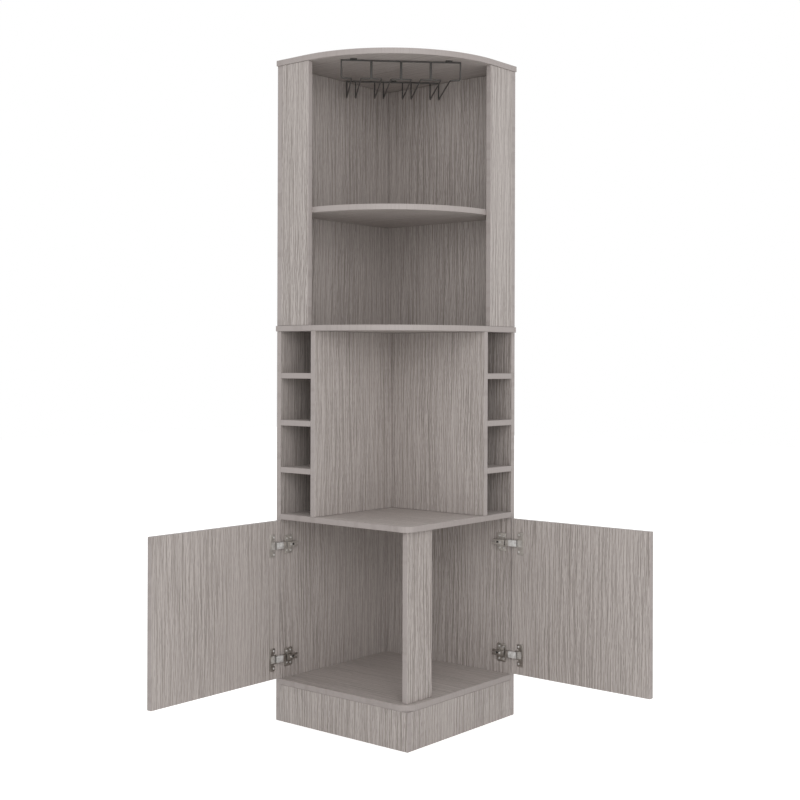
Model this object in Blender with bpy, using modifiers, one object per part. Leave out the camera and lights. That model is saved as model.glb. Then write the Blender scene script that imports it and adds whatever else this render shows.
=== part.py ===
"""Corner bar cabinet for the corner of a room, in metres, +Z up.

The origin is the outer back corner of the two walls, on the floor. The left wall runs
along -Y and the right wall along +X, so the front corner of the cabinet is at (SIDE, -SIDE).
The cupboard doors stand open, each in line with its wall. A piece of the right half is the
one of the left half laid over the cabinet's diagonal.
"""

import math

import bmesh
import bpy
from mathutils import Matrix, Vector

# The whole cabinet, and its boards
HEIGHT = 1.800
SIDE = 0.465
BOARD = 0.015
FIT = 0.0003
EDGE_SOFTENING = 0.0006

# Heights of the clear spaces, from the floor up: the upper bay takes what is left
PLINTH_HEIGHT = 0.0992
CUPBOARD_CLEAR = 0.434
CUBBY_CLEAR = 0.113
CUBBY_ROWS = 4
LOWER_BAY_CLEAR = 0.303

# Plan sizes of single boards
SHELF_CORNER_RADIUS = 0.028
PANEL_OVERHANG = 0.0025
PANEL_FRONT_RADIUS = 0.362
UPPER_SHELF_RADIUS = 0.334
CUBBY_WIDTH = 0.112
STILE_WIDTH = 0.101
POST_WIDTH = 0.101

# Doors
DOOR_OFFSET = 0.0025
DOOR_HINGE_GAP = 0.003
DOOR_SHELF_GAP = 0.0032
DOOR_FRONT_SETBACK = 0.002
DOOR_MEETING_GAP = 0.002
DOOR_POST_GAP = 0.001
LOWER_HINGE_RISE = 0.0535
UPPER_HINGE_DROP = 0.0665

# Hinge mounting plate: its own sizes, and places back from the wall's front edge
PLATE_THICKNESS = 0.0017
PLATE_LENGTH = 0.030
PLATE_HEIGHT = 0.050
PLATE_CORNER_RADIUS = 0.003
PLATE_SETBACK = 0.0155
PLATE_SCREW_INSET = 0.008
PLATE_SCREW_SPACING = 0.032
PLATE_SCREW_RADIUS = 0.0024
PLATE_SLOT_LENGTH = 0.0045
RIB_SETBACK = 0.0095
RIB_LENGTH = 0.019

# Hinge arm, a channel over the rib: heights are off the wall's inner face
ARM_WIDTH = 0.014
ARM_TOP = 0.012
ARM_WALL = 0.0012
ARM_FOOT = 0.003
ARM_FRONT_SETBACK = 0.016
ARM_REAR_SETBACK = 0.056
ARM_SCREW_SETBACK = 0.030
ARM_HOLE_SETBACK = 0.0385
ARM_HOLE_RADIUS = 0.0021
ARM_NOTCH_LENGTH = 0.008
ARM_NOTCH_WIDTH = 0.0046

# Hinge link, a channel over the arm's front, and the pin through both
LINK_PIN_HEIGHT = 0.0072
LINK_PIN_SETBACK = 0.0205
LINK_PIN_RADIUS = 0.001
LINK_WALL = 0.0012
LINK_TOP = 0.0114
LINK_FLANGE_GAP = 0.0004
LINK_TAIL = 0.003
LINK_REACH = 0.0445
LINK_WEB_LENGTH = 0.0375
LINK_TAPER = 0.006

# Hinge cup and its flange: places are in front of the wall's front edge
FLANGE_THICKNESS = 0.001
FLANGE_HEIGHT = 0.062
FLANGE_NEAR = 0.023
FLANGE_FAR = 0.043
FLANGE_EAR_HEIGHT = 0.014
FLANGE_WAIST = 0.005
FLANGE_CORNER_RADIUS = 0.004
CUP_SCREW_PLACE = 0.028
CUP_SCREW_SPACING = 0.047
CUP_SCREW_RADIUS = 0.0024
CUP_NEAR = 0.0195
CUP_LENGTH = 0.018
CUP_HEIGHT = 0.020
CUP_WALL = 0.001
CUP_DEPTH = 0.0105
CUP_RIM = 0.0015
CUP_BAR_INSET = 0.005
CUP_LEAF_GAP = 0.003

# Glass rack, in line with the diagonal: its front rail is set back from the top panel's front
# edge, and its rear rail lies in front of the back corner, clear of the walls
WIRE_RADIUS = 0.002
RACK_SETBACK = 0.078
RACK_REAR = 0.177
RACK_WALL_GAP = 0.0209
RACK_SLOTS = 4
STEM_SLOT_WIDTH = 0.021
HANGER_DROP = 0.0475
TWIN_DROP_SPREAD = 0.0014
WIRE_BEND_RADIUS = 0.005
PAD_WIDTH = 0.018
PAD_DEPTH = 0.014
PAD_THICKNESS = 0.0016
PAD_HOLE_RADIUS = 0.0022
PAD_INSET = 0.032
WELD_DEPTH = 0.0006

# One overrun serves all cuts
OVERRUN = 0.002
WELD_DISTANCE = 0.00001

# Counts of facets
PANEL_ARC_STEPS = 28
CORNER_STEPS = 6
WIRE_BEND_STEPS = 3
HOLE_SIDES = 12
PIN_SIDES = 12
WIRE_SIDES = 8

# Finishes: colour, roughness, metallic
OAK_LAMINATE = ((0.30, 0.265, 0.25, 1), 0.55, 0)
NICKEL_STEEL = ((0.55, 0.54, 0.53, 1), 0.30, 1)
BLACK_WIRE = ((0.035, 0.035, 0.035, 1), 0.40, 0.6)

# Undersides of the level boards, from the clear heights
BOTTOM_Z = PLINTH_HEIGHT + FIT
COUNTER_Z = BOTTOM_Z + BOARD + CUPBOARD_CLEAR
CUBBY_STEP = CUBBY_CLEAR + BOARD
MIDDLE_Z = COUNTER_Z + CUBBY_ROWS * CUBBY_STEP
UPPER_SHELF_Z = MIDDLE_Z + BOARD + LOWER_BAY_CLEAR
TOP_Z = HEIGHT - BOARD

# Places that several pieces share
INSIDE = BOARD + FIT
BEHIND_DOORS = SIDE - BOARD
DIVIDER = BOARD + CUBBY_WIDTH
DOOR_LOW = BOTTOM_Z + BOARD + DOOR_SHELF_GAP
DOOR_HIGH = COUNTER_Z - DOOR_SHELF_GAP
DOOR_AXIS_INSET = (BOARD + DOOR_OFFSET) / 2
LINK_FOOT = DOOR_OFFSET + FIT + FLANGE_THICKNESS + LINK_FLANGE_GAP
HINGE_HEIGHTS = {"upper": DOOR_HIGH - UPPER_HINGE_DROP, "lower": DOOR_LOW + LOWER_HINGE_RISE}

# Places of the rack along the diagonal, from the back corner
PANEL_ARC_CENTRE = math.hypot(SIDE + PANEL_OVERHANG - PANEL_FRONT_RADIUS,
                              SIDE + PANEL_OVERHANG - PANEL_FRONT_RADIUS)
RACK_FRONT = PANEL_ARC_CENTRE + PANEL_FRONT_RADIUS - RACK_SETBACK
RACK_REAR_REACH = RACK_REAR - math.hypot(INSIDE, INSIDE) - RACK_WALL_GAP
RACK_PITCH = 2 * (RACK_REAR_REACH - STEM_SLOT_WIDTH / 2 - 2 * WIRE_RADIUS) / (RACK_SLOTS - 1)

# A turn of half a circle about the horizontal diagonal lays the left half on the right half
OVER_DIAGONAL = Matrix.Rotation(math.pi, 4, Vector((1, -1, 0)))

# Stands a flat outline up along the wall: its X becomes Y, its Y becomes Z
ALONG_WALL = Matrix(((0, 0, 1, 0), (1, 0, 0, 0), (0, 1, 0, 0), (0, 0, 0, 1)))


def clear_scene():
    for obj in list(bpy.data.objects):
        bpy.data.objects.remove(obj)


def new_collection(name):
    collection = bpy.data.collections.new(name)
    bpy.context.scene.collection.children.link(collection)
    return collection


def move_to(obj, collection):
    for holder in list(obj.users_collection):
        holder.objects.unlink(obj)
    collection.objects.link(obj)


def finished(obj, name, finish):
    """The object under its own name, with its own material, in the cabinet's collection."""
    colour, roughness, metallic = finish
    material = bpy.data.materials.new(name)
    material.use_nodes = True
    shader = material.node_tree.nodes["Principled BSDF"]
    shader.inputs["Base Color"].default_value = colour
    shader.inputs["Roughness"].default_value = roughness
    shader.inputs["Metallic"].default_value = metallic
    obj.name = name
    obj.data.materials.clear()
    obj.data.materials.append(material)
    move_to(obj, CABINET)
    return obj


def soften_edges(obj):
    bevel = obj.modifiers.new("Softened edges", "BEVEL")
    bevel.width = EDGE_SOFTENING
    bevel.segments = 1
    bevel.limit_method = "ANGLE"


def box(low, high):
    """A plain box between two corners."""
    low, high = Vector(low), Vector(high)
    bpy.ops.mesh.primitive_cube_add(size=1, location=(low + high) / 2)
    obj = bpy.context.object
    obj.scale = high - low
    bpy.ops.object.transform_apply(location=False, rotation=False, scale=True)
    return obj


def outline_curve(points, thickness):
    """A flat outline in X and Y, made thick to both sides of Z = 0."""
    curve = bpy.data.curves.new("Outline", "CURVE")
    curve.dimensions = "2D"
    curve.fill_mode = "BOTH"
    curve.extrude = thickness / 2
    spline = curve.splines.new("POLY")
    spline.points.add(len(points) - 1)
    for place, point in zip(spline.points, points):
        place.co = (*point, 0, 1)
    spline.use_cyclic_u = True
    obj = bpy.data.objects.new("Outline", curve)
    bpy.context.scene.collection.objects.link(obj)
    return obj


def wire_curve(route, radius):
    """A round wire along the points of its route, with closed ends."""
    curve = bpy.data.curves.new("Wire", "CURVE")
    curve.dimensions = "3D"
    curve.bevel_depth = radius
    curve.bevel_resolution = 2
    curve.use_fill_caps = True
    spline = curve.splines.new("POLY")
    spline.points.add(len(route) - 1)
    for place, point in zip(spline.points, route):
        place.co = (*point, 1)
    obj = bpy.data.objects.new("Wire", curve)
    bpy.context.scene.collection.objects.link(obj)
    return obj


def as_mesh(obj):
    """The object as it is evaluated, as a plain mesh with its loose caps welded."""
    graph = bpy.context.evaluated_depsgraph_get()
    mesh = bpy.data.meshes.new_from_object(obj.evaluated_get(graph))
    shape = bmesh.new()
    shape.from_mesh(mesh)
    bmesh.ops.remove_doubles(shape, verts=shape.verts, dist=WELD_DISTANCE)
    bmesh.ops.recalc_face_normals(shape, faces=shape.faces)
    shape.to_mesh(mesh)
    shape.free()
    solid = bpy.data.objects.new(obj.name, mesh)
    solid.matrix_world = obj.matrix_world.copy()
    bpy.context.scene.collection.objects.link(solid)
    bpy.data.objects.remove(obj)
    return solid


def combined(obj, others, operation):
    """The mesh of the object joined with, or cut by, the others, which are used up."""
    for other in others:
        boolean = obj.modifiers.new("Join or cut", "BOOLEAN")
        boolean.operation = operation
        boolean.object = other
    bpy.context.view_layer.update()
    solid = as_mesh(obj)
    for other in others:
        bpy.data.objects.remove(other)
    return solid


def rod(radius, low, high, sides):
    """A round rod between two points that differ along one axis only."""
    low, high = Vector(low), Vector(high)
    along = high - low
    bpy.ops.mesh.primitive_cylinder_add(
        vertices=sides, radius=radius, depth=along.length, location=(low + high) / 2,
        rotation=along.to_track_quat("Z", "Y").to_euler())
    return bpy.context.object


def arc(centre, radius, start, end, steps):
    """Points on a circle from one angle to another, in degrees."""
    turns = [math.radians(start + (end - start) * step / steps) for step in range(steps + 1)]
    return [(centre[0] + radius * math.cos(turn), centre[1] + radius * math.sin(turn))
            for turn in turns]


def over_diagonal(low, high):
    """The corners of a box of the left half, laid over the diagonal."""
    return (-high[1], -high[0], low[2]), (-low[1], -low[0], high[2])


def board(name, low, high):
    obj = box(low, high)
    soften_edges(obj)
    return finished(obj, name, OAK_LAMINATE)


def rounded_square(inner, outer, radius, steps):
    """A square plan from the back corner to the front, its front corner rounded."""
    centre = outer - radius
    return [(inner, -inner), (inner, -outer),
            *arc((centre, -centre), radius, -90, 0, steps), (outer, -inner)]


def shaped_board(name, outline, underside):
    obj = outline_curve(outline, BOARD)
    obj.location.z = underside + BOARD / 2
    weld = obj.modifiers.new("Caps", "WELD")
    weld.merge_threshold = WELD_DISTANCE
    soften_edges(obj)
    return finished(obj, name, OAK_LAMINATE)


def make_walls():
    lower_top = MIDDLE_Z - FIT
    board("lower_left_wall", (0, -SIDE, 0), (BOARD, 0, lower_top))
    board("lower_right_wall", (INSIDE, -BOARD, 0), (SIDE, 0, lower_top))
    upper_foot, upper_top = MIDDLE_Z + BOARD + FIT, TOP_Z - FIT
    board("upper_left_wall", (0, -SIDE, upper_foot), (BOARD, 0, upper_top))
    board("upper_right_wall", (INSIDE, -BOARD, upper_foot), (SIDE, 0, upper_top))
    stile = (INSIDE, -SIDE, upper_foot), (INSIDE + STILE_WIDTH, -BEHIND_DOORS, upper_top)
    board("left_stile", *stile)
    board("right_stile", *over_diagonal(*stile))


def make_plinth():
    board("plinth_left", (INSIDE, -SIDE, 0), (SIDE, -BEHIND_DOORS, PLINTH_HEIGHT))
    board("plinth_right", (BEHIND_DOORS, FIT - BEHIND_DOORS, 0), (SIDE, -INSIDE, PLINTH_HEIGHT))


def make_level_boards():
    shelf = rounded_square(INSIDE, SIDE, SHELF_CORNER_RADIUS, CORNER_STEPS)
    shaped_board("bottom_shelf", shelf, BOTTOM_Z)
    shaped_board("counter", shelf, COUNTER_Z)
    panel = rounded_square(-PANEL_OVERHANG, SIDE + PANEL_OVERHANG, PANEL_FRONT_RADIUS,
                           PANEL_ARC_STEPS)
    shaped_board("middle_panel", panel, MIDDLE_Z)
    shaped_board("top_panel", panel, TOP_Z)
    behind_stiles = rounded_square(INSIDE, BEHIND_DOORS - FIT, UPPER_SHELF_RADIUS,
                                   PANEL_ARC_STEPS)
    shaped_board("upper_shelf", behind_stiles, UPPER_SHELF_Z)


def make_cubbies():
    """The two columns of bottle cubbies beside the bar niche."""
    foot, top = COUNTER_Z + BOARD + FIT, MIDDLE_Z - FIT
    right_back = DIVIDER + INSIDE
    board("left_divider", (DIVIDER, -SIDE, foot), (DIVIDER + BOARD, -INSIDE, top))
    board("right_divider", (right_back, -DIVIDER - BOARD, foot), (SIDE, -DIVIDER, top))
    for row in range(1, CUBBY_ROWS):
        low = COUNTER_Z + row * CUBBY_STEP
        high = low + BOARD
        board(f"left_cubby_shelf_{row}", (INSIDE, -SIDE, low), (DIVIDER - FIT, -INSIDE, high))
        board(f"right_cubby_shelf_{row}", (right_back, FIT - DIVIDER, low), (SIDE, -INSIDE, high))


def make_post():
    face = BEHIND_DOORS - DOOR_POST_GAP
    board("post", (face - BOARD, -face, BOTTOM_Z + BOARD + FIT),
          (face, POST_WIDTH - face, COUNTER_Z - FIT))


def axis_empty(name, x, y):
    """An empty that marks a vertical joint axis."""
    empty = bpy.data.objects.new(name, None)
    empty.location = (x, y, 0)
    CABINET.objects.link(empty)
    return empty


def carried(obj, empty):
    """Parents the object to the empty, and leaves it where it stands."""
    obj.parent = empty
    obj.location -= empty.location
    return obj


def rounded_rectangle(low, high, radius):
    """A rectangle between two corners of a plane, its own corners rounded."""
    (left, bottom), (right, top) = low, high
    corners = ((right - radius, top - radius, 0), (left + radius, top - radius, 90),
               (left + radius, bottom + radius, 180), (right - radius, bottom + radius, 270))
    return [point for x, y, start in corners
            for point in arc((x, y), radius, start, start + 90, CORNER_STEPS)]


def sheet_on_wall(outline, height, thickness):
    """A flat sheet that lies along the wall: its outline is in Y and Z, its foot at a height X."""
    obj = outline_curve(outline, thickness)
    obj.matrix_world = Matrix.Translation((height + thickness / 2, 0, 0)) @ ALONG_WALL
    bpy.context.view_layer.update()
    return as_mesh(obj)


def mounting_plate():
    near, far = PLATE_SETBACK, PLATE_SETBACK + PLATE_LENGTH
    half = PLATE_HEIGHT / 2
    base = sheet_on_wall(rounded_rectangle((near, -half), (far, half), PLATE_CORNER_RADIUS),
                         FIT, PLATE_THICKNESS)
    rib_start = PLATE_SETBACK + RIB_SETBACK
    rib_side = ARM_WIDTH / 2 - ARM_WALL - FIT
    rib = box((FIT + PLATE_THICKNESS / 2, rib_start, -rib_side),
              (ARM_TOP - ARM_WALL - FIT, rib_start + RIB_LENGTH, rib_side))
    holes = []
    over, under = FIT + PLATE_THICKNESS + OVERRUN, -OVERRUN
    for side in (-1, 1):
        screw = side * PLATE_SCREW_SPACING / 2
        holes.append(rod(PLATE_SCREW_RADIUS, (under, near + PLATE_SCREW_INSET, screw),
                         (over, near + PLATE_SCREW_INSET, screw), HOLE_SIDES))
        slot = sorted((screw, screw + side * PLATE_SLOT_LENGTH))
        holes.append(box((under, far - PLATE_SCREW_INSET - PLATE_SCREW_RADIUS, slot[0]),
                         (over, far - PLATE_SCREW_INSET + PLATE_SCREW_RADIUS, slot[1])))
    return combined(combined(base, [rib], "UNION"), holes, "DIFFERENCE")


def hinge_arm():
    """A pressed channel over the plate's rib. The link turns on a pin through its front."""
    arm = box((ARM_FOOT, ARM_FRONT_SETBACK, -ARM_WIDTH / 2),
              (ARM_TOP, ARM_REAR_SETBACK, ARM_WIDTH / 2))
    inner = ARM_WIDTH / 2 - ARM_WALL
    rear, above = ARM_REAR_SETBACK + OVERRUN, ARM_TOP + OVERRUN
    roof = ARM_TOP - ARM_WALL
    hollow = box((-OVERRUN, ARM_FRONT_SETBACK - OVERRUN, -inner), (roof, rear, inner))
    notch = box((roof - OVERRUN, ARM_REAR_SETBACK - ARM_NOTCH_LENGTH, -ARM_NOTCH_WIDTH / 2),
                (above, rear, ARM_NOTCH_WIDTH / 2))
    holes = [rod(ARM_HOLE_RADIUS, (roof - OVERRUN, setback, 0), (above, setback, 0), HOLE_SIDES)
             for setback in (ARM_SCREW_SETBACK, ARM_HOLE_SETBACK)]
    return combined(arm, [hollow, notch, *holes, pin_hole()], "DIFFERENCE")


def pin_span():
    """Half the width of the link, outside its cheeks."""
    return ARM_WIDTH / 2 + FIT + LINK_WALL


def pin_hole():
    reach = pin_span() + OVERRUN
    return rod(LINK_PIN_RADIUS + FIT, (LINK_PIN_HEIGHT, LINK_PIN_SETBACK, -reach),
               (LINK_PIN_HEIGHT, LINK_PIN_SETBACK, reach), PIN_SIDES)


def link_pin():
    reach = pin_span() + FIT
    return rod(LINK_PIN_RADIUS, (LINK_PIN_HEIGHT, LINK_PIN_SETBACK, -reach),
               (LINK_PIN_HEIGHT, LINK_PIN_SETBACK, reach), PIN_SIDES)


def hinge_link():
    """A channel with two cheeks beside the arm's front, and a web with a sloped end."""
    tail, front = LINK_PIN_SETBACK + LINK_TAIL, LINK_PIN_SETBACK - LINK_REACH
    roof = LINK_TOP - LINK_WALL
    side_view = [(LINK_FOOT, front + LINK_TAPER), (roof, front), (LINK_TOP, front),
                 (LINK_TOP, tail), (LINK_FOOT, tail)]
    link = as_mesh(outline_curve(side_view, 2 * pin_span()))
    inner = pin_span() - LINK_WALL
    rise, under = roof - LINK_FOOT, LINK_FOOT - OVERRUN
    behind_slope = front + LINK_WALL * math.hypot(rise, LINK_TAPER) / rise
    hollow_view = [(under, behind_slope + LINK_TAPER), (LINK_FOOT, behind_slope + LINK_TAPER),
                   (roof, behind_slope), (roof, tail + OVERRUN), (under, tail + OVERRUN)]
    hollow = as_mesh(outline_curve(hollow_view, 2 * inner))
    open_top = box((LINK_FOOT - OVERRUN, front + LINK_WEB_LENGTH, -inner),
                   (LINK_TOP + OVERRUN, tail + OVERRUN, inner))
    return combined(link, [hollow, open_top, pin_hole()], "DIFFERENCE")


def flange_outline():
    """The cup's flange: two ears for the screws, a waist, and a rim round the cup's mouth."""
    half = FLANGE_HEIGHT / 2
    ear, round_off = half - FLANGE_EAR_HEIGHT, FLANGE_CORNER_RADIUS
    rim_side = CUP_HEIGHT / 2 + CUP_WALL + CUP_RIM
    rim_near = CUP_WALL + CUP_RIM - CUP_NEAR
    waist = -FLANGE_NEAR - FLANGE_WAIST
    lower = [(-FLANGE_FAR, -half),
             *arc((-FLANGE_NEAR - round_off, round_off - half), round_off, -90, 0, CORNER_STEPS),
             (-FLANGE_NEAR, -ear), (waist, -ear), (waist, -rim_side), (rim_near, -rim_side)]
    return lower + [(y, -z) for y, z in reversed(lower)]


def cup_box(grown, low, high):
    """A box in line with the cup's inside, grown all round in Y and Z."""
    side = CUP_HEIGHT / 2 + grown
    return box((low, -CUP_NEAR - CUP_LENGTH - grown, -side), (high, grown - CUP_NEAR, side))


def hinge_cup():
    """A pressed cup with its flange on the door's inner face, and a bar and leaf inside."""
    face = DOOR_OFFSET + FIT
    flange = sheet_on_wall(flange_outline(), face, FLANGE_THICKNESS)
    shell = cup_box(CUP_WALL, DOOR_OFFSET - CUP_DEPTH, face + FLANGE_THICKNESS / 2)
    inside = cup_box(0, DOOR_OFFSET - CUP_DEPTH + CUP_WALL, face + OVERRUN)
    cuts = [inside]
    for side in (-1, 1):
        screw = side * CUP_SCREW_SPACING / 2
        cuts.append(rod(CUP_SCREW_RADIUS, (DOOR_OFFSET - OVERRUN, -CUP_SCREW_PLACE, screw),
                        (face + OVERRUN, -CUP_SCREW_PLACE, screw), HOLE_SIDES))
    cup = combined(combined(flange, [shell], "UNION"), cuts, "DIFFERENCE")
    bar_height = DOOR_OFFSET - CUP_DEPTH / 2
    bar_place, in_wall = -CUP_NEAR - CUP_BAR_INSET, (CUP_HEIGHT + CUP_WALL) / 2
    bar = rod(LINK_PIN_RADIUS, (bar_height, bar_place, -in_wall),
              (bar_height, bar_place, in_wall), PIN_SIDES)
    leaf = box((DOOR_OFFSET - CUP_WALL, -CUP_NEAR - CUP_LENGTH - CUP_WALL / 2, -in_wall),
               (DOOR_OFFSET, -CUP_NEAR - CUP_LEAF_GAP, in_wall))
    return combined(cup, [bar, leaf], "UNION")


def stand_at_hinge(obj, side, level):
    """Sets a piece, or a copy laid over the diagonal, at one of the four hinges."""
    height = HINGE_HEIGHTS[level]
    if side == "left":
        obj.matrix_world = Matrix.Translation((BOARD, -SIDE, height)) @ obj.matrix_world
    else:
        turned = Matrix.Translation((SIDE, -BOARD, height)) @ OVER_DIAGONAL
        obj.matrix_world = turned @ obj.matrix_world
    return obj


def make_door(side, low, high, axis):
    door = board(f"{side}_door", low, high)
    carried(door, axis)
    for level in HINGE_HEIGHTS:
        cutter = cup_box(CUP_WALL + FIT, DOOR_OFFSET - CUP_DEPTH - FIT, DOOR_OFFSET + OVERRUN)
        stand_at_hinge(cutter, side, level)
        cutter.name = f"{side}_{level}_cup_pocket"
        cutter.display_type = "WIRE"
        cutter.hide_render = True
        move_to(cutter, CUTTERS)
        carried(cutter, axis)
        pocket = door.modifiers.new(f"Pocket for the {level} cup", "BOOLEAN")
        pocket.object = cutter


def make_doors_and_hinges():
    """Both doors, open, and for each two hinges whose pieces are modelled once and copied."""
    door_x, door_y = DOOR_AXIS_INSET, DOOR_AXIS_INSET - DOOR_OFFSET - SIDE
    link_x, link_y = BOARD + LINK_PIN_HEIGHT, LINK_PIN_SETBACK - SIDE
    axes = {"left": (axis_empty("left_door_axis", door_x, door_y),
                     axis_empty("left_link_axis", link_x, link_y)),
            "right": (axis_empty("right_door_axis", -door_y, -door_x),
                      axis_empty("right_link_axis", -link_y, -link_x))}
    hinge_edge = -SIDE - DOOR_HINGE_GAP
    left_width = SIDE - DOOR_FRONT_SETBACK - BOARD - DOOR_HINGE_GAP
    right_width = BEHIND_DOORS - DOOR_MEETING_GAP - BOARD - DOOR_HINGE_GAP
    spans = {side: ((DOOR_OFFSET, hinge_edge - width, DOOR_LOW),
                    (DOOR_OFFSET + BOARD, hinge_edge, DOOR_HIGH))
             for side, width in (("left", left_width), ("right", right_width))}
    make_door("left", *spans["left"], axes["left"][0])
    make_door("right", *over_diagonal(*spans["right"]), axes["right"][0])

    pieces = {"mounting_plate": mounting_plate(), "arm": hinge_arm(), "link_pin": link_pin(),
              "link": hinge_link(), "cup": hinge_cup()}
    for kind, original in pieces.items():
        original.data.transform(original.matrix_world)
        for side, (door_axis, link_axis) in axes.items():
            for level in HINGE_HEIGHTS:
                copy = bpy.data.objects.new(kind, original.data.copy())
                bpy.context.scene.collection.objects.link(copy)
                stand_at_hinge(copy, side, level)
                finished(copy, f"{side}_{level}_{kind}", NICKEL_STEEL)
                if kind == "link":
                    carried(copy, link_axis)
                elif kind == "cup":
                    carried(copy, door_axis)
        bpy.data.objects.remove(original)


def bent(route):
    """The route with each of its corners rounded to the wire's bend radius."""
    route = [Vector(point) for point in route]
    points = [route[0]]
    for before, corner, after in zip(route, route[1:], route[2:]):
        ahead, aside = (corner - before).normalized(), (after - corner).normalized()
        turn = ahead.angle(aside)
        outward = (ahead * math.cos(turn) - aside).normalized()
        start = corner - ahead * WIRE_BEND_RADIUS * math.tan(turn / 2)
        centre = start - outward * WIRE_BEND_RADIUS
        for step in range(WIRE_BEND_STEPS + 1):
            angle = turn * step / WIRE_BEND_STEPS
            points.append(centre + WIRE_BEND_RADIUS * (outward * math.cos(angle)
                                                       + ahead * math.sin(angle)))
    return points + [route[-1]]


def rack_rail(place, half_length, pads):
    """A rail across the rack, welded under the pads that its screws go through."""
    rail = rod(WIRE_RADIUS, (place, -half_length, 0), (place, half_length, 0), WIRE_SIDES)
    bottom = WIRE_RADIUS - WELD_DEPTH
    top = bottom + PAD_THICKNESS
    tabs, holes = [], []
    for across in pads:
        tabs.append(box((place, across - PAD_WIDTH / 2, bottom),
                        (place + PAD_DEPTH, across + PAD_WIDTH / 2, top)))
        hole = place + (PAD_DEPTH + WIRE_RADIUS) / 2
        holes.append(rod(PAD_HOLE_RADIUS, (hole, across, bottom - OVERRUN),
                         (hole, across, top + OVERRUN), HOLE_SIDES))
    return combined(combined(rail, tabs, "UNION"), holes, "DIFFERENCE")


def rack_hanger(place, half_width, is_first, is_last):
    """A hoop of wire under the rails, with twin drops in front. The two end ones are half."""
    top, low = -WIRE_RADIUS - FIT, -HANGER_DROP
    if is_first or is_last:
        inner = place + (half_width if is_first else -half_width)
        route = [(RACK_FRONT, place, top), (RACK_FRONT, place, low), (RACK_FRONT, inner, low),
                 (RACK_REAR, inner, low), (RACK_REAR, inner, top)]
        return as_mesh(wire_curve(bent(route), WIRE_RADIUS))
    left, right = place - half_width, place + half_width
    route = [(RACK_REAR, left, top), (RACK_REAR, left, low), (RACK_FRONT, left, low),
             (RACK_FRONT, right, low), (RACK_REAR, right, low), (RACK_REAR, right, top)]
    hoop = as_mesh(wire_curve(bent(route), WIRE_RADIUS))
    drops = [rod(WIRE_RADIUS, (RACK_FRONT, across, low), (RACK_FRONT, across, top), WIRE_SIDES)
             for across in (place - TWIN_DROP_SPREAD, place + TWIN_DROP_SPREAD)]
    return combined(hoop, drops, "UNION")


def make_glass_rack():
    """Wire rack under the top panel, in line with the cabinet's diagonal."""
    centre = bpy.data.objects.new("glass_rack_line", None)
    centre.location.z = TOP_Z - FIT - PAD_THICKNESS - WIRE_RADIUS + WELD_DEPTH
    centre.rotation_euler.z = math.radians(-45)
    CABINET.objects.link(centre)
    half_width = (RACK_PITCH - STEM_SLOT_WIDTH) / 2 - WIRE_RADIUS
    half_rack = RACK_SLOTS * RACK_PITCH / 2
    front_pads = (PAD_INSET - half_rack, half_rack - PAD_INSET)
    pieces = {"rack_front_rail": rack_rail(RACK_FRONT, half_rack + WIRE_RADIUS, front_pads),
              "rack_rear_rail": rack_rail(RACK_REAR, half_rack - half_width + WIRE_RADIUS, (0,))}
    for number in range(RACK_SLOTS + 1):
        place = number * RACK_PITCH - half_rack
        pieces[f"rack_hanger_{number + 1}"] = rack_hanger(
            place, half_width, number == 0, number == RACK_SLOTS)
    for name, piece in pieces.items():
        finished(piece, name, BLACK_WIRE)
        piece.parent = centre


def shade_round_pieces():
    """Turned and bent pieces shade smoothly, with their edges kept sharp."""
    for obj in CABINET.objects:
        if obj.type == "MESH":
            obj.data.shade_smooth()
            obj.data.set_sharp_from_angle(angle=math.radians(35))


clear_scene()
CABINET = new_collection("corner_bar_cabinet")
CUTTERS = new_collection("cutters")
make_walls()
make_plinth()
make_level_boards()
make_cubbies()
make_post()
make_doors_and_hinges()
make_glass_rack()
shade_round_pieces()
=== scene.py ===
"""Dresses the corner bar cabinet: camera, light, finishes, hinge pieces and screws.

Places are in metres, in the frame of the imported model. A hinge has a frame of its own, in
which X is the height over the board that it is screwed to, Y runs back from the front edge
of the wall, and Z is up from the middle of the hinge.
"""

import math

import bmesh
import bpy
from mathutils import Matrix, Vector


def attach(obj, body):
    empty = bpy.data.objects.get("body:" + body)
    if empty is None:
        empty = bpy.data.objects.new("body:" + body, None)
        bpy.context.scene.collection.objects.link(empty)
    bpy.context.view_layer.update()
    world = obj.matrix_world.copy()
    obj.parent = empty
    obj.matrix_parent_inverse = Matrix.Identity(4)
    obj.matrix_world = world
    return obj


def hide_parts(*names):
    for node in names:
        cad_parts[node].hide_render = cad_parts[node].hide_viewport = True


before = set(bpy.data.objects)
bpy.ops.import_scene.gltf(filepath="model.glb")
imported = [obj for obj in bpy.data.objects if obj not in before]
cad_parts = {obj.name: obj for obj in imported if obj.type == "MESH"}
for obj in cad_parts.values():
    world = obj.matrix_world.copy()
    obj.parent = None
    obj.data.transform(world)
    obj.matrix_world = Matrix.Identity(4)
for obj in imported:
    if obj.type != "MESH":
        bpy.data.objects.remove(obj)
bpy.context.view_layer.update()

MM = 0.001

# The middle of the cabinet, at which the lamps aim
CABINET_MIDDLE = (0.25, -0.25, 0.9)

# Sizes repeated from the source of the solids
SIDE = 0.465
BOARD = 0.015
HINGE_HEIGHTS = {"upper": 0.4788, "lower": 0.1712}
PLATE_FACE = 0.0020
FLANGE_FACE = 0.0038
ARM_FACE = 0.0120
PAD_UNDERSIDE = 1.7831
PAD_HOLES = {"front_left": (0.4412, -0.128), "front_right": (0.4412, 0.128),
             "rear": (0.185, 0)}

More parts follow.
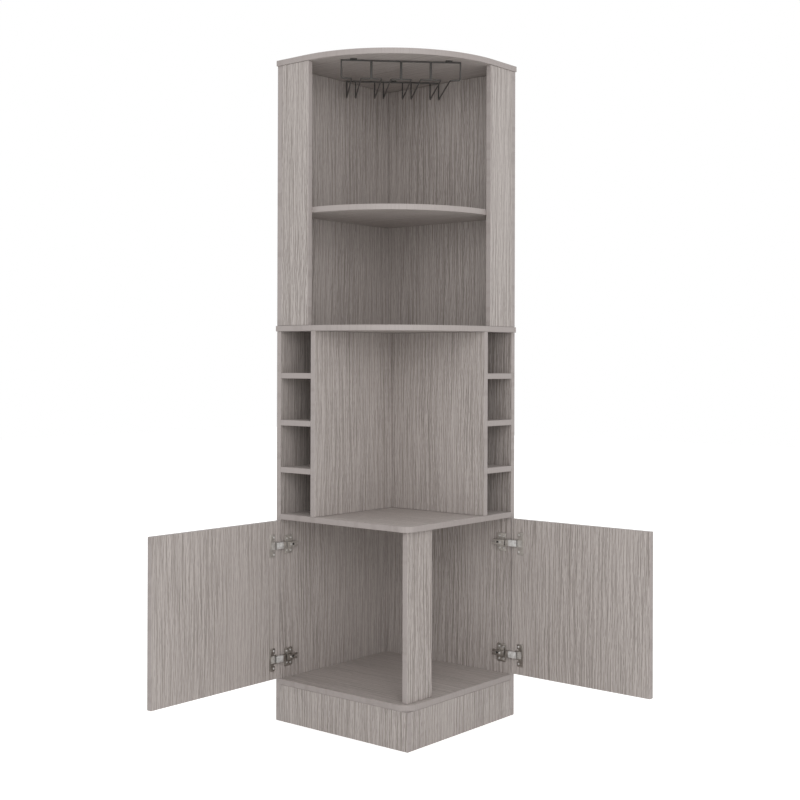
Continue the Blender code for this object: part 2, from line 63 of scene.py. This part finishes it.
# Screws of a hinge: Y and Z of their middles in the hinge's own frame
PLATE_SCREWS = ((0.0235, 0.016), (0.0235, -0.016), (0.0375, 0.017), (0.0375, -0.017))
ARM_SCREW = (0.030, 0)
ARM_CLAMP_SCREW = (0.0385, 0)
CUP_SCREWS = ((-0.028, 0.0235), (-0.028, -0.0235))

# Radius and height of the screw heads
HINGE_SCREW_HEAD = (0.0031, 0.0015)
RACK_SCREW_HEAD = (0.0036, 0.0018)

# How far each screw of a group is turned from the one before, in degrees
SCREW_TURN = 37

# Radius of the rolled edges of the pressed hinge pieces
ROLLED_EDGE = 0.0002

# Where one finish ends on a hinge piece: the height below which the cup is painted light, against
# the shade in its hollow, and the place behind which the link has the finish of the arm, for the
# arm's nose in the photograph
CUP_PAINTED_LIGHT_TOP = 0.0026
LINK_ARM_FINISH_START = 0.002


# Camera

def make_camera():
    """The camera that took the photograph, from the outlines of the boards in it."""
    data = bpy.data.cameras.new("photograph")
    data.sensor_width = 36
    data.lens = 57.83
    data.shift_y = -0.0464
    data.clip_end = 50
    camera = bpy.data.objects.new("photograph", data)
    turn = (Matrix.Rotation(math.radians(39.739), 4, "Z")
            @ Matrix.Rotation(math.radians(90.100), 4, "X")
            @ Matrix.Rotation(math.radians(0.157), 4, "Z"))
    camera.matrix_world = Matrix.Translation((2.5030, -2.9499, 0.9695)) @ turn
    bpy.context.scene.collection.objects.link(camera)
    bpy.context.scene.camera = camera


# Materials

def colour(code):
    """A linear colour from an sRGB hex value."""
    parts = [int(code[start:start + 2], 16) / 255 for start in (1, 3, 5)]
    return [part / 12.92 if part <= 0.04045 else ((part + 0.055) / 1.055) ** 2.4
            for part in parts] + [1]


def add(tree, kind, inputs=(), **settings):
    """Adds a node with its settings, and links or sets its inputs."""
    node = tree.nodes.new(kind)
    for name, value in settings.items():
        setattr(node, name, value)
    for name, value in dict(inputs).items():
        if isinstance(value, bpy.types.NodeSocket):
            tree.links.new(value, node.inputs[name])
        else:
            node.inputs[name].default_value = value
    return node


def new_material(name):
    """An empty node tree with its output, and the material that it belongs to."""
    material = bpy.data.materials.new(name)
    material.use_nodes = True
    material.node_tree.nodes.clear()
    return material, material.node_tree


# Layers of the laminate's print, from the widest marks to the finest. Each has the width and
# length of its marks in mm, the steps from which and up to which they darken, how strong they
# are, and their colour. The finest are drawn several times as wide as real pores, or they'd
# not show.
OAK_PRINT = (
    (36, 900, -0.15, 0.25, 0.22, "#A39B97"),
    (8, 300, -0.06, 0.26, 0.42, "#7D756F"),
    (3.6, 150, -0.04, 0.22, 0.60, "#756D68"),
    (2.4, 26, 0.04, 0.22, 0.50, "#6A625E"))

# The step aside over which a layer's noise is compared, in widths of its marks
STEP_ASIDE = 0.9

# Waves in which the grain drifts to either side: their width and length in mm, and the drift in
# mm from one extreme of the noise to the other, of which about a third shows
GRAIN_DRIFTS = ((300, 460, 24), (40, 90, 3.5))

# Width and length in mm of the calm and the lively stretches of the print
LIVELY_STRETCH = (80, 600)

# How far apart in the noises two layers of the print lie, and two boards
LAYER_SHIFT = 7.3
BOARD_SHIFT = 3.7

# How strong the print is on the calmer boards: level ones, and the left door
CALM_PRINT = 0.8


def oak_laminate(name, face, grain, shift, strength):
    """Melamine paper printed as limed grey oak, on particle board, pressed with a pore finish.

    The eye gets long dark grain lines about 15 mm apart with finer ones between them, on a pale
    warm grey. A layer's marks are the steps of a noise from a place to the one beside it, which
    spaces them evenly. The edges are covered in plain band in the print's middle tone.
    """
    material, tree = new_material(name)
    place = add(tree, "ShaderNodeTexCoord")
    axes = add(tree, "ShaderNodeSeparateXYZ", {"Vector": place.outputs["Object"]})
    across = axes.outputs[({"X", "Y", "Z"} - {face, grain}).pop()]
    sheet = add(tree, "ShaderNodeCombineXYZ", {"X": across, "Y": axes.outputs[grain]}).outputs[0]

    for width, length, sway in GRAIN_DRIFTS:
        at = add(tree, "ShaderNodeVectorMath",
                 {0: sheet, 1: (1 / (width * MM), 1 / (length * MM), 0), 2: (0, 0, shift + sway)},
                 operation="MULTIPLY_ADD")
        drift = add(tree, "ShaderNodeTexNoise", {"Vector": at.outputs[0], "Scale": 1.0,
                                                 "Detail": 1.0})
        centred = add(tree, "ShaderNodeMath", {0: drift.outputs["Fac"], 1: 0.5},
                      operation="SUBTRACT")
        sheet = add(tree, "ShaderNodeVectorMath",
                    {0: centred.outputs[0], 1: (sway * MM, 0, 0), 2: sheet},
                    operation="MULTIPLY_ADD").outputs[0]

    width, length = LIVELY_STRETCH
    at = add(tree, "ShaderNodeVectorMath",
             {0: sheet, 1: (1 / (width * MM), 1 / (length * MM), 0), 2: (0, 0, shift + 90)},
             operation="MULTIPLY_ADD")
    stretch = add(tree, "ShaderNodeTexNoise", {"Vector": at.outputs[0], "Scale": 1.0,
                                               "Detail": 2.0})
    liveliness = add(tree, "ShaderNodeMapRange",
                     {"Value": stretch.outputs["Fac"], "From Min": 0.36, "From Max": 0.64,
                      "To Min": 0.75 * strength, "To Max": 1.25 * strength})

    wood = colour("#B2AAA6")
    for number, (width, length, low, high, share, dark) in enumerate(OAK_PRINT):
        at = add(tree, "ShaderNodeVectorMath",
                 {0: sheet, 1: (1 / (width * MM), 1 / (length * MM), 0),
                  2: (0, 0, shift + number * LAYER_SHIFT)}, operation="MULTIPLY_ADD")
        beside = add(tree, "ShaderNodeVectorMath", {0: at.outputs[0], 1: (STEP_ASIDE, 0, 0)},
                     operation="ADD")
        here, there = (add(tree, "ShaderNodeTexNoise", {"Vector": spot.outputs[0], "Scale": 1.0,
                                                        "Detail": 1.0, "Roughness": 0.5})
                       for spot in (at, beside))
        step = add(tree, "ShaderNodeMath", {0: here.outputs["Fac"], 1: there.outputs["Fac"]},
                   operation="SUBTRACT")
        most = add(tree, "ShaderNodeMath", {0: liveliness.outputs[0], 1: share},
                   operation="MULTIPLY")
        marks = add(tree, "ShaderNodeMapRange",
                    {"Value": step.outputs[0], "From Min": low, "From Max": high,
                     "To Max": most.outputs[0]})
        wood = add(tree, "ShaderNodeMix", {"Factor": marks.outputs[0], 6: wood,
                                           7: colour(dark)}, data_type="RGBA").outputs[2]

    # Edge band on every face that doesn't look along the face axis
    normal = add(tree, "ShaderNodeSeparateXYZ", {"Vector": place.outputs["Normal"]})
    facing = add(tree, "ShaderNodeMath", {0: normal.outputs[face]}, operation="ABSOLUTE")
    on_face = add(tree, "ShaderNodeMath", {0: facing.outputs[0], 1: 0.9},
                  operation="GREATER_THAN")
    band = add(tree, "ShaderNodeMix", {"Factor": marks.outputs[0], 6: colour("#9C9491"),
                                       7: colour("#8D8581")}, data_type="RGBA")
    surface = add(tree, "ShaderNodeMix", {"Factor": on_face.outputs[0], 6: band.outputs[2],
                                          7: wood}, data_type="RGBA")
    gloss = add(tree, "ShaderNodeMapRange", {"Value": marks.outputs[0], "To Min": 0.46,
                                             "To Max": 0.62})
    depth = add(tree, "ShaderNodeMath", {0: marks.outputs[0], 1: on_face.outputs[0]},
                operation="MULTIPLY")
    relief = add(tree, "ShaderNodeBump", {"Height": depth.outputs[0], "Strength": 0.5,
                                          "Distance": 0.05 * MM}, invert=True)
    shader = add(tree, "ShaderNodeBsdfPrincipled",
                 {"Base Color": surface.outputs[2], "Roughness": gloss.outputs[0],
                  "Normal": relief.outputs[0]})
    add(tree, "ShaderNodeOutputMaterial", {"Surface": shader.outputs[0]})
    return material


def plated_steel(name, tone, rough, metallic, cloud_tone="#8D8883"):
    """Pressed steel that a bath has plated or blackened: satin, in faint clouds 9 mm across.

    The pale ones are less metallic than real plate, as the photograph's room lights them. The
    grit of the press is drawn 0.8 mm wide, which is coarser than it is, or it wouldn't show.
    """
    material, tree = new_material(name)
    place = add(tree, "ShaderNodeTexCoord")
    cloud = add(tree, "ShaderNodeTexNoise", {"Vector": place.outputs["Object"],
                                             "Scale": 1 / (9 * MM), "Detail": 3.0})
    grit = add(tree, "ShaderNodeTexNoise", {"Vector": place.outputs["Object"],
                                            "Scale": 1 / (0.8 * MM), "Detail": 2.0})
    plate = add(tree, "ShaderNodeMix", {"Factor": cloud.outputs["Fac"], 6: colour(tone),
                                        7: colour(cloud_tone)}, data_type="RGBA")
    gloss = add(tree, "ShaderNodeMapRange", {"Value": cloud.outputs["Fac"],
                                             "To Min": rough - 0.08, "To Max": rough + 0.08})
    relief = add(tree, "ShaderNodeBump", {"Height": grit.outputs["Fac"], "Strength": 0.15,
                                          "Distance": 0.03 * MM})
    shader = add(tree, "ShaderNodeBsdfPrincipled",
                 {"Base Color": plate.outputs[2], "Metallic": metallic,
                  "Roughness": gloss.outputs[0], "Normal": relief.outputs[0]})
    add(tree, "ShaderNodeOutputMaterial", {"Surface": shader.outputs[0]})
    return material


def black_powder_coat(name):
    """Welded steel wire in black powder coat: satin, with the faint orange peel of the oven."""
    material, tree = new_material(name)
    place = add(tree, "ShaderNodeTexCoord")
    peel = add(tree, "ShaderNodeTexNoise", {"Vector": place.outputs["Object"],
                                            "Scale": 1 / (1.4 * MM), "Detail": 2.0})
    tone = add(tree, "ShaderNodeMix", {"Factor": peel.outputs["Fac"], 6: colour("#302F2E"),
                                       7: colour("#45423F")}, data_type="RGBA")
    gloss = add(tree, "ShaderNodeMapRange", {"Value": peel.outputs["Fac"], "To Min": 0.34,
                                             "To Max": 0.50})
    relief = add(tree, "ShaderNodeBump", {"Height": peel.outputs["Fac"], "Strength": 0.3,
                                          "Distance": 0.05 * MM})
    shader = add(tree, "ShaderNodeBsdfPrincipled",
                 {"Base Color": tone.outputs[2], "Roughness": gloss.outputs[0],
                  "Normal": relief.outputs[0]})
    add(tree, "ShaderNodeOutputMaterial", {"Surface": shader.outputs[0]})
    return material


# Which way each board's broad faces look, and which way its grain runs
BOARDS = {
    ("X", "Z"): ("lower_left_wall", "upper_left_wall", "left_divider", "left_door",
                 "right_stile", "plinth_right", "post"),
    ("Y", "Z"): ("lower_right_wall", "upper_right_wall", "right_divider", "right_door",
                 "left_stile", "plinth_left"),
    ("Z", "X"): ("bottom_shelf", "counter", "middle_panel", "upper_shelf", "top_panel",
                 "right_cubby_shelf_1", "right_cubby_shelf_2", "right_cubby_shelf_3"),
    ("Z", "Y"): ("left_cubby_shelf_1", "left_cubby_shelf_2", "left_cubby_shelf_3"),
}


def dress_boards():
    """Each board gets its own stretch of the print, so that no two boards match."""
    shift = 0
    for (face, grain), names in BOARDS.items():
        for name in names:
            shift += BOARD_SHIFT
            finish(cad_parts[name],
                   oak_laminate(f"grey_oak_laminate_{name}", face, grain, shift,
                                CALM_PRINT if face == "Z" or name == "left_door" else 1))


def finish(piece, material):
    """Gives a piece its one material."""
    piece.data.materials.clear()
    piece.data.materials.append(material)


# Hinges and screws

def deselect():
    """Leaves edit mode, with nothing selected."""
    if bpy.context.object and bpy.context.object.mode != "OBJECT":
        bpy.ops.object.mode_set(mode="OBJECT")
    bpy.ops.object.select_all(action="DESELECT")


def activate(piece):
    """Selects one piece alone, for the operators that follow."""
    deselect()
    piece.select_set(True)
    bpy.context.view_layer.objects.active = piece


def rounded_copy(node):
    """A copy of a solid with its loose triangles merged and its sharp edges rolled over."""
    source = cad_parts[node]
    piece = bpy.data.objects.new(f"{node}_rounded", source.data.copy())
    bpy.context.scene.collection.objects.link(piece)
    activate(piece)
    bpy.ops.object.mode_set(mode="EDIT")
    bpy.ops.mesh.select_all(action="SELECT")
    bpy.ops.mesh.remove_doubles(threshold=0.01 * MM)
    bpy.ops.mesh.dissolve_limited(angle_limit=math.radians(1))
    bpy.ops.object.mode_set(mode="OBJECT")
    bevel = piece.modifiers.new("Rolled edges", "BEVEL")
    bevel.width = ROLLED_EDGE
    bevel.segments = 2
    bevel.limit_method = "ANGLE"
    bevel.angle_limit = math.radians(40)
    bpy.ops.object.modifier_apply(modifier=bevel.name)
    bpy.ops.object.shade_smooth_by_angle(angle=math.radians(50))
    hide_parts(node)
    return piece


def second_finish(piece, material, place, axis, split, side):
    """Another finish on the part of a piece that lies below or behind a plane of its hinge."""
    normal = place.to_3x3() @ axis
    point = place @ (axis * split)
    activate(piece)
    bpy.ops.object.mode_set(mode="EDIT")
    bpy.ops.mesh.select_all(action="SELECT")
    bpy.ops.mesh.bisect(plane_co=point, plane_no=normal, threshold=0)
    bpy.ops.object.mode_set(mode="OBJECT")
    piece.data.materials.append(material)
    for face in piece.data.polygons:
        if (face.center - point).dot(normal) * side > 0:
            face.material_index = 1


def dress_hinges():
    """Pressed hinge pieces: dull plate on the walls and doors, a bright polished link.

    The upper hinges' plate is painted paler and less metallic, and the lower ones' darker, as
    painted reflection: the upper hinges mirror more of the bright room. The cup's hollow is
    painted light against the shade that the link casts into it, and the link is dull where it
    lies at the arm.
    """
    # Painted reflection: the upper plate is paler and less metallic, the lower one darker
    dulls_painted_reflection = {"upper": plated_steel("nickel_plated_steel_upper_painted_reflection", "#C6C0B9", rough=0.42,
                                   metallic=0.55),
             "lower": plated_steel("nickel_plated_steel_lower_painted_reflection", "#B5AFA8", rough=0.36,
                                   metallic=1.0)}
    bright = plated_steel("zinc_plated_steel_bright", "#F2F2F1", rough=0.34, metallic=0.35)
    # Painted light: the cup's hollow is pale and nearly not metallic, so it stays light in the
    # link's shadow
    hollow = plated_steel("zinc_plated_steel_hollow_painted_light", "#D9D5D0", rough=0.50, metallic=0.1)
    bodies = {"mounting_plate": "cabinet", "arm": "cabinet", "link_pin": "cabinet",
              "link": "{side}_hinge_links", "cup": "{side}_door"}
    for side in ("left", "right"):
        for level, dull in dulls_painted_reflection.items():
            place = hinge_frame(side, level)
            for kind, body in bodies.items():
                piece = rounded_copy(f"{side}_{level}_{kind}")
                finish(piece, bright if kind in ("link", "link_pin") else dull)
                if kind == "cup":
                    second_finish(piece, hollow, place, Vector((1, 0, 0)), CUP_PAINTED_LIGHT_TOP, -1)
                if kind == "link":
                    second_finish(piece, dull, place, Vector((0, 1, 0)),
                                  LINK_ARM_FINISH_START, 1)
                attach(piece, body.format(side=side))


def screw_head(radius, height):
    """A pan head with a cross recess, its foot at the origin and its top towards +X.

    The rim is rounded over half the height. The recess is nearly half as deep as the head.
    """
    deselect()
    bpy.ops.mesh.primitive_cylinder_add(vertices=24, radius=radius, depth=height,
                                        location=(0, 0, height / 2))
    head = bpy.context.object
    bpy.ops.object.mode_set(mode="EDIT")
    bpy.ops.mesh.select_all(action="DESELECT")
    shape = bmesh.from_edit_mesh(head.data)
    shape.faces.ensure_lookup_table()
    for face in shape.faces:
        face.select = face.normal.z > 0.9
    bmesh.update_edit_mesh(head.data)
    bpy.ops.mesh.bevel(offset=height * 0.55, segments=3, affect="EDGES")
    bpy.ops.object.mode_set(mode="OBJECT")
    for turn in (0, 90):
        deselect()
        bpy.ops.mesh.primitive_cube_add(size=1, location=(0, 0, height),
                                        rotation=(0, 0, math.radians(turn)))
        blade = bpy.context.object
        blade.scale = (radius * 1.15, radius * 0.24, height * 0.9)
        cut = head.modifiers.new("Recess", "BOOLEAN")
        cut.operation = "DIFFERENCE"
        cut.object = blade
        activate(head)
        bpy.ops.object.modifier_apply(modifier=cut.name)
        bpy.data.objects.remove(blade)
    bpy.ops.object.shade_smooth_by_angle(angle=math.radians(35))
    head.data.transform(head.matrix_world)
    head.data.transform(Matrix.Rotation(math.radians(90), 4, "Y"))
    head.matrix_world = Matrix.Identity(4)
    return head


def hinge_frame(side, level):
    """From a hinge's own frame to the cabinet's. The right half is the left one laid over."""
    height = HINGE_HEIGHTS[level]
    if side == "left":
        return Matrix.Translation((BOARD, -SIDE, height))
    return (Matrix.Translation((SIDE, -BOARD, height))
            @ Matrix.Rotation(math.pi, 4, Vector((1, -1, 0))))


def fit_screw(name, head, place, metal, body):
    """A copy of the screw head, set down in its place."""
    screw = bpy.data.objects.new(name, head.data.copy())
    screw.data.transform(place)
    bpy.context.scene.collection.objects.link(screw)
    finish(screw, metal)
    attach(screw, body)


def fit_hinge_screws():
    """Four screws in each mounting plate, two in each arm and two in each cup.

    The rear screw of an arm clamps it. Its head is coloured near black, as painted shade for the
    dark hole in the arm there.
    """
    steel = plated_steel("zinc_plated_screw", "#EDECEA", rough=0.30, metallic=0.5)
    # Painted shade: a near-black screw head where the arm shows a dark hole
    black = plated_steel("dark_screw_painted_shade", "#3A3735", rough=0.45, metallic=0.3,
                         cloud_tone="#2A2827")
    head = screw_head(*HINGE_SCREW_HEAD)
    kinds = {"plate": ("cabinet", steel, PLATE_FACE, PLATE_SCREWS),
             "arm": ("cabinet", steel, ARM_FACE, (ARM_SCREW,)),
             "clamp": ("cabinet", black, ARM_FACE, (ARM_CLAMP_SCREW,)),
             "cup": ("{side}_door", steel, FLANGE_FACE, CUP_SCREWS)}
    for side in ("left", "right"):
        for level in HINGE_HEIGHTS:
            for kind, (body, metal, face, spots) in kinds.items():
                for number, (along, up) in enumerate(spots, 1):
                    seat = Matrix.Translation((face, along, up))
                    turn = Matrix.Rotation(math.radians(SCREW_TURN * number), 4, "X")
                    fit_screw(f"{side}_{level}_{kind}_screw_{number}", head,
                              hinge_frame(side, level) @ seat @ turn, metal,
                              body.format(side=side))
    bpy.data.objects.remove(head)


def dress_rack():
    """Black coat on the rack's wires and pads, and a black screw up through each pad."""
    coat = black_powder_coat("black_powder_coated_wire")
    for name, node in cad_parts.items():
        if name.startswith("rack_"):
            finish(node, coat)
    head = screw_head(*RACK_SCREW_HEAD)
    head_down = Matrix.Rotation(math.radians(90), 4, "Y")
    along_diagonal = Matrix.Rotation(math.radians(-45), 4, "Z")
    for name, (along, across) in PAD_HOLES.items():
        fit_screw(f"rack_screw_{name}", head, along_diagonal
                  @ Matrix.Translation((along, across, PAD_UNDERSIDE)) @ head_down,
                  coat, "cabinet")
    bpy.data.objects.remove(head)


# Floor and light

def seen_directly(tree):
    """1 for a ray from the eye, off gloss or through glass, and 0 for light on the object."""
    rays = add(tree, "ShaderNodeLightPath")
    eye_or_gloss = add(tree, "ShaderNodeMath", {0: rays.outputs["Is Camera Ray"],
                                                1: rays.outputs["Is Glossy Ray"]},
                       operation="MAXIMUM")
    return add(tree, "ShaderNodeMath", {0: eye_or_gloss.outputs[0],
                                        1: rays.outputs["Is Transmission Ray"]},
               operation="MAXIMUM").outputs[0]


def make_floor():
    """A white floor that keeps the cabinet's soft shadow and runs out into a white room.

    It glows, mostly for the eye alone. Gloss and glass see it white with less, and with more
    the lower boards would turn pale.
    """
    deselect()
    bpy.ops.mesh.primitive_plane_add(size=24, location=(*CABINET_MIDDLE[:2], 0))
    floor = bpy.context.object
    floor.name = "studio_floor"
    material, tree = new_material("white_studio_floor")
    diffuse = add(tree, "ShaderNodeBsdfDiffuse", {"Color": colour("#F4F4F3")})
    rays = add(tree, "ShaderNodeLightPath")
    strength = add(tree, "ShaderNodeMapRange", {"Value": rays.outputs["Is Camera Ray"],
                                                "To Min": 0.05, "To Max": 0.50})
    glow = add(tree, "ShaderNodeEmission", {"Color": (1, 1, 1, 1),
                                            "Strength": strength.outputs[0]})
    lit = add(tree, "ShaderNodeAddShader", {0: diffuse.outputs[0], 1: glow.outputs[0]})
    mix = add(tree, "ShaderNodeMixShader", {0: seen_directly(tree), 1: diffuse.outputs[0],
                                            2: lit.outputs[0]})
    add(tree, "ShaderNodeOutputMaterial", {"Surface": mix.outputs[0]})
    finish(floor, material)


def make_room():
    """White for the eye, for gloss and through glass, and a softer fill on the cabinet."""
    world = bpy.data.worlds.new("white_room")
    world.use_nodes = True
    tree = world.node_tree
    tree.nodes.clear()
    strength = add(tree, "ShaderNodeMapRange", {"Value": seen_directly(tree), "To Min": 0.88,
                                                "To Max": 1.0})
    background = add(tree, "ShaderNodeBackground", {"Color": (1, 1, 1, 1),
                                                    "Strength": strength.outputs[0]})
    add(tree, "ShaderNodeOutputWorld", {"Surface": background.outputs[0]})
    bpy.context.scene.world = world


def add_lamp(name, place, size, power):
    """A wide round lamp, aimed at the middle of the cabinet."""
    data = bpy.data.lights.new(name, "AREA")
    data.shape = "DISK"
    data.size = size
    data.energy = power
    lamp = bpy.data.objects.new(name, data)
    aim = (Vector(CABINET_MIDDLE) - Vector(place)).to_track_quat("-Z", "Y")
    lamp.matrix_world = Matrix.Translation(place) @ aim.to_matrix().to_4x4()
    bpy.context.scene.collection.objects.link(lamp)


make_camera()
dress_boards()
dress_hinges()
fit_hinge_screws()
dress_rack()
make_floor()
make_room()
add_lamp("key", place=(2.5, -2.55, 2.1), size=2.6, power=29)
add_lamp("fill", place=(3.1, -2.3, 1.3), size=2.4, power=12)

scene = bpy.context.scene
scene.view_settings.view_transform = "Standard"
